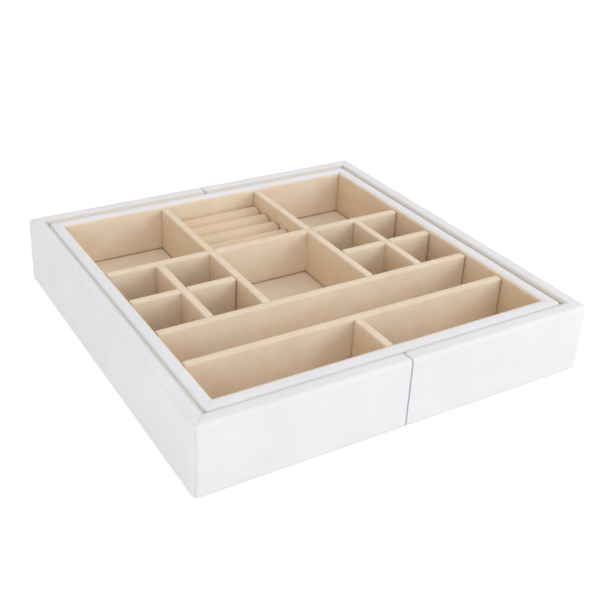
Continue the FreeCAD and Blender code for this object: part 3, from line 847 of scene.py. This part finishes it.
class Padding:
    """Cloth simulation that swells velvet over its foam, glued at the foot and held elsewhere by the foam."""

    FRAMES = 20
    PRESSURE = 4000
    POINT_MASS = 0.002
    STIFFNESS = 15
    FOAM_HOLD = 0.7
    GLUED_HEIGHT = 1 * MM
    NO_MOVE = 1e-9

    def __init__(self, scene, limit):
        self.scene, self.limit, self.pads = scene, limit, []

    def add(self, mesh):
        pad = bpy.data.objects.new(mesh.name, mesh)
        self.scene.collection.objects.link(pad)
        glued = min(point.co.z for point in mesh.vertices) + self.GLUED_HEIGHT
        held = pad.vertex_groups.new(name="held")
        for point in mesh.vertices:
            held.add([point.index], 1.0 if point.co.z < glued else self.FOAM_HOLD, "REPLACE")
        cloth = pad.modifiers.new("Padding", "CLOTH")
        cloth.settings.mass = self.POINT_MASS
        cloth.settings.tension_stiffness = cloth.settings.compression_stiffness = self.STIFFNESS
        cloth.settings.use_pressure = True
        cloth.settings.uniform_pressure_force = self.PRESSURE
        cloth.settings.vertex_group_mass = held.name
        cloth.settings.effector_weights.gravity = 0
        cloth.collision_settings.use_collision = False
        cloth.point_cache.frame_start, cloth.point_cache.frame_end = 1, self.FRAMES
        self.pads.append(pad)

    def swell(self):
        """Run the frames, then keep each point within the limit of where it started."""
        before = self.scene.frame_current
        for number in range(1, self.FRAMES + 1):
            self.scene.frame_set(number)
        graph = bpy.context.evaluated_depsgraph_get()
        swollen = [[point.co.copy() for point in pad.evaluated_get(graph).data.vertices]
                   for pad in self.pads]
        meshes = []
        for pad, places in zip(self.pads, swollen):
            for point, place in zip(pad.data.vertices, places):
                move = place - point.co
                point.co += move * min(1.0, self.limit / max(move.length, self.NO_MOVE))
            meshes.append(pad.data)
            bpy.data.objects.remove(pad)
        self.scene.frame_set(before)
        return meshes


class TRAY_OT_finishes(bpy.types.Operator):
    """Make the finishes and give them to the CAD pieces that stay in view."""

    bl_idname = "tray.finishes"
    bl_label = "Finishes"

    # How the brushed patches of the velvet are stretched along X, Y and Z
    LINING_BRUSH, DIVIDER_BRUSH, RING_BRUSH = (1, 1, 1.5), (1.2, 1.2, 1), (1.5, 1, 1)
    # The narrow top of a divider gets less of the painted light on faces turned up
    DIVIDER_TOP_PAINTED_LIGHT = 0.7
    # The painted shade in the floor crease ends this far below the top of the floor velvet
    CREASE_SHADE_LIP = 0.1 * MM
    # Finishes of CAD pieces, by the ending of their names
    PLAIN = {"board": "Raw fibreboard", "floor_lining": "Cream lining velvet",
             "base_felt": "Needle-punched felt", "underlay": "Beige lining velvet"}

    def execute(self, context):
        colours, sizes = context.scene.tray_colours, context.scene.tray_sizes
        beige = colours.velvet, colours.velvet_nap_and_painted_light, colours.velvet_sheen
        cream = colours.half_velvet, colours.half_velvet_nap_and_painted_light, colours.velvet_sheen
        ring = colours.velvet, colours.ring_nap_and_painted_light, colours.velvet_sheen
        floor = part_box("insert_floor_lining")[1].z
        # Painted shade at the foot of walls and dividers, and down in the floor crease
        shade_at_foot = colours.velvet_crease_shade, floor, floor + sizes.crease_shade_height
        shade_in_floor = colours.velvet_crease_shade, floor - sizes.crease_depth, floor - self.CREASE_SHADE_LIP
        leatherette_material(colours)
        velvet_material("Beige lining velvet", *beige, self.LINING_BRUSH)
        velvet_material("Beige wall velvet", *beige, self.LINING_BRUSH, crease=shade_at_foot)
        velvet_material("Beige floor velvet", *beige, self.LINING_BRUSH, crease=shade_in_floor)
        velvet_material("Cream lining velvet", *cream, self.LINING_BRUSH)
        velvet_material("Divider velvet", *beige, self.DIVIDER_BRUSH, self.DIVIDER_TOP_PAINTED_LIGHT, shade_at_foot)
        velvet_material("Ring velvet", *ring, self.RING_BRUSH)
        fibreboard_material(colours)
        felt_material(colours)
        for node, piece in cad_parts.items():
            ending = next((ending for ending in self.PLAIN if node.endswith(ending)), None)
            if ending:
                piece.data.materials.clear()
                piece.data.materials.append(finish_of(self.PLAIN[ending]))
        return {"FINISHED"}


class TRAY_OT_covers(bpy.types.Operator):
    """Wrap every wall in leatherette."""

    bl_idname = "tray.covers"
    bl_label = "Leatherette covers"

    def execute(self, context):
        leatherette = finish_of("White leatherette")
        for wall in tray_walls():
            builder = CoverBuilder(wall, context.scene.tray_sizes)
            mesh = builder.mesh(f"{wall.name}_leatherette", leatherette)
            new_piece(mesh, wall.body, f"{wall.name}_cover")
        return {"FINISHED"}


class TRAY_OT_linings(bpy.types.Operator):
    """Line the walls and the floor of the compartments with velvet."""

    bl_idname = "tray.linings"
    bl_label = "Velvet linings"

    def execute(self, context):
        sizes = context.scene.tray_sizes
        beige, cream = finish_of("Beige wall velvet"), finish_of("Cream lining velvet")
        for wall in tray_walls():
            node = f"{wall.name}_lining"
            velvet = beige if wall.body == "insert" else cream
            mesh = LiningBuilder(wall, sizes).mesh(f"{node}_velvet", velvet)
            new_piece(mesh, wall.body, node)
        node = "insert_floor_lining"
        mesh = FloorVelvet(sizes).mesh(f"{node}_velvet", finish_of("Beige floor velvet"))
        new_piece(mesh, "insert", node)
        return {"FINISHED"}


class TRAY_OT_dividers(bpy.types.Operator):
    """Set the grid of velvet-covered dividers, lapped half into each other where they cross."""

    bl_idname = "tray.dividers"
    bl_label = "Velvet dividers"

    def execute(self, context):
        sizes = context.scene.tray_sizes
        tree = velvet_board_tree()
        velvet = finish_of("Divider velvet")
        for nodes, others, from_top in ((DIVIDERS_ALONG_X, DIVIDERS_ALONG_Y, True),
                                        (DIVIDERS_ALONG_Y, DIVIDERS_ALONG_X, False)):
            for node in nodes:
                laps = crossing_laps(node, others, from_top, sizes.lap_slack)
                mesh = velvet_board(tree, node, velvet, sizes, laps)
                new_piece(mesh, "insert", node)
        return {"FINISHED"}


class TRAY_OT_ring_bars(bpy.types.Operator):
    """Pad the ring bars."""

    bl_idname = "tray.ring_bars"
    bl_label = "Ring bars"

    def execute(self, context):
        sizes = context.scene.tray_sizes
        padding = Padding(context.scene, sizes.ring_swell)
        for node in RING_BARS:
            padding.add(RingBar(node, sizes).mesh(f"{node}_padded", finish_of("Ring velvet")))
        for node, mesh in zip(RING_BARS, padding.swell()):
            piece = new_piece(mesh, "insert", node)
        return {"FINISHED"}


def seen_directly(add):
    """1 for what the camera sees, straight or in a reflection or through glass."""
    path = add("ShaderNodeLightPath").outputs
    one = add("ShaderNodeMath", {0: path["Is Camera Ray"], 1: path["Is Glossy Ray"]}, operation="MAXIMUM")
    return add("ShaderNodeMath", {0: one, 1: path["Is Transmission Ray"]}, operation="MAXIMUM")


def softbox(name, place, target, size, power):
    """Square area lamp that faces a point."""
    lamp = bpy.data.lights.new(name, "AREA")
    lamp.shape, lamp.size, lamp.energy = "SQUARE", size, power
    holder = bpy.data.objects.new(name, lamp)
    aim = Vector(target) - Vector(place)
    holder.matrix_world = Matrix.Translation(place) @ aim.to_track_quat("-Z", "Y").to_matrix().to_4x4()
    bpy.context.scene.collection.objects.link(holder)


class TRAY_OT_stage(bpy.types.Operator):
    """Set the pale floor, the soft studio light and the camera."""

    bl_idname = "tray.stage"
    bl_label = "Stage"

    # Camera that sees the tray as the photograph does
    CAMERA_PLACE = (-0.374822, -0.599625, 0.422821)
    CAMERA_RIGHT = (0.870664, -0.490924, 0.030529)
    CAMERA_UP = (0.201392, 0.412419, 0.888456)
    CAMERA_BACK = (-0.448760, -0.767393, 0.457954)
    CAMERA_LENS, CAMERA_SENSOR = 58.0868, 36
    CAMERA_SHIFT = (0.059836, -0.072539)
    # Lamps: name, place, point that they face, size and power
    SOFTBOXES = (("Key softbox", (1.3, -1.15, 0.8), (0.05, 0, 0.03), 1.0, 11.5),
                 ("Side softbox", (-1.15, -0.55, 0.5), (0, 0, 0.03), 0.8, 2.5))
    WORLD_LIGHT = 0.765
    WHITE = (1, 1, 1, 1)
    # The floor lies just below the felt, so that the two don't share a plane
    FLOOR_REACH, FLOOR_DROP, FLOOR_LIFT = 6, 0.05 * MM, 0.32

    def execute(self, context):
        scene = context.scene
        scene.view_settings.view_transform = "Standard"
        self.floor(scene)
        self.world(scene)
        for lamp in self.SOFTBOXES:
            softbox(*lamp)
        self.camera(scene)
        return {"FINISHED"}

    def floor(self, scene):
        """Matt pale floor. A little glow for the camera alone takes it to white outside the shadow."""
        material = bpy.data.materials.new("Pale floor")
        add = empty_tree(material)
        base = add("ShaderNodeBsdfDiffuse", {"Color": scene.tray_colours.floor})
        lift = add("ShaderNodeMath", {0: seen_directly(add), 1: self.FLOOR_LIFT}, operation="MULTIPLY")
        glow = add("ShaderNodeEmission", {"Color": self.WHITE, "Strength": lift})
        both = add("ShaderNodeAddShader", {0: base, 1: glow})
        add("ShaderNodeOutputMaterial", {"Surface": both})
        bm = bmesh.new()
        bmesh.ops.create_grid(bm, x_segments=1, y_segments=1, size=self.FLOOR_REACH)
        floor = bpy.data.objects.new("studio_floor", mesh_from(bm, "studio_floor", material))
        floor.data.transform(Matrix.Translation((0, 0, CAD_BOX[0].z - self.FLOOR_DROP)))
        scene.collection.objects.link(floor)
        floor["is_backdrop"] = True

    def world(self, scene):
        """Even white light from all round, and a white background."""
        scene.world = bpy.data.worlds.new("Studio")
        add = empty_tree(scene.world)
        strength = add("ShaderNodeMapRange", {"Value": seen_directly(add), "To Min": self.WORLD_LIGHT})
        light = add("ShaderNodeBackground", {"Color": self.WHITE, "Strength": strength})
        add("ShaderNodeOutputWorld", {"Surface": light})

    def camera(self, scene):
        data = bpy.data.cameras.new("Photo camera")
        data.lens, data.sensor_width = self.CAMERA_LENS, self.CAMERA_SENSOR
        data.shift_x, data.shift_y = self.CAMERA_SHIFT
        camera = bpy.data.objects.new("Photo camera", data)
        axes = Matrix((self.CAMERA_RIGHT, self.CAMERA_UP, self.CAMERA_BACK)).transposed()
        camera.matrix_world = Matrix.Translation(self.CAMERA_PLACE) @ axes.to_4x4()
        scene.collection.objects.link(camera)
        scene.camera = camera


OPERATORS = (TRAY_OT_finishes, TRAY_OT_covers, TRAY_OT_linings, TRAY_OT_dividers, TRAY_OT_ring_bars,
             TRAY_OT_stage)


class TRAY_PT_panel(bpy.types.Panel):
    """Steps, sizes and colours of the tray."""

    bl_idname = "TRAY_PT_panel"
    bl_label = "Jewelry tray"
    bl_space_type = "VIEW_3D"
    bl_region_type = "UI"
    bl_category = "Tray"

    def draw(self, context):
        for operator in OPERATORS:
            self.layout.operator(operator.bl_idname)
        for group in (context.scene.tray_sizes, context.scene.tray_colours):
            box = self.layout.box()
            for name in group.__annotations__:
                box.prop(group, name)


CLASSES = (TraySizes, TrayColours, *OPERATORS, TRAY_PT_panel)


def register():
    for item in CLASSES:
        bpy.utils.register_class(item)
    bpy.types.Scene.tray_sizes = PointerProperty(type=TraySizes)
    bpy.types.Scene.tray_colours = PointerProperty(type=TrayColours)


def unregister():
    del bpy.types.Scene.tray_colours
    del bpy.types.Scene.tray_sizes
    for item in reversed(CLASSES):
        bpy.utils.unregister_class(item)


def main():
    register()
    bpy.ops.tray.finishes()
    bpy.ops.tray.covers()
    bpy.ops.tray.linings()
    bpy.ops.tray.dividers()
    bpy.ops.tray.ring_bars()
    bpy.ops.tray.stage()
    boxes = {"cad": CAD_BOX, "visual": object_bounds()}
    {name: [list(corner) for corner in box] for name, box in boxes.items()}


if __name__ == "__main__":
    main()
